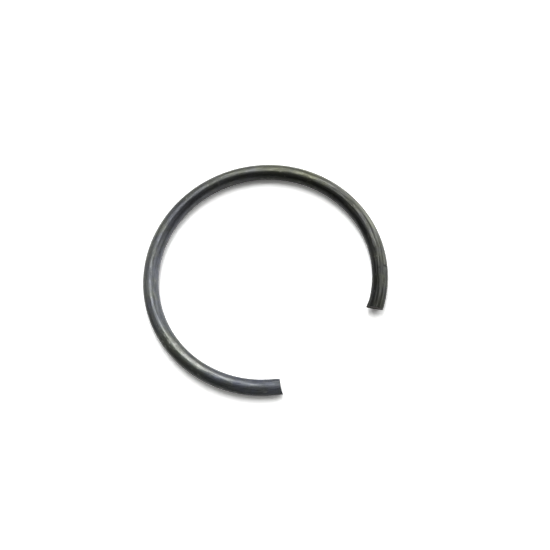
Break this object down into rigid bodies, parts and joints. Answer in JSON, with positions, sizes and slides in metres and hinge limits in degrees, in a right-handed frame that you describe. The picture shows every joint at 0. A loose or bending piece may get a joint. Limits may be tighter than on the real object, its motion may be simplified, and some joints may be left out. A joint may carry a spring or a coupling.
{
  "type": "circlip retaining ring",
  "caption": "C-shaped snap ring of round spring wire with a wide opening and sheared ends; it sits in a groove to hold a pin, bearing or shaft in place.",
  "frame": {"origin": "centre of the ring, level with the middle of the wire, which is the middle of the groove that the ring sits in", "axes": "+Z along the axis of the groove, up as the ring lies flat; the opening between the two ends faces -Y; +X to the right of it as seen from the opening"},
  "size_m": [0.025, 0.0233, 0.0016],
  "materials": {
    "blackened_steel": "satin"
  },
  "bodies": {
    "root": {"snap_ring": "blackened_steel"}
  },
  "joints": []
}
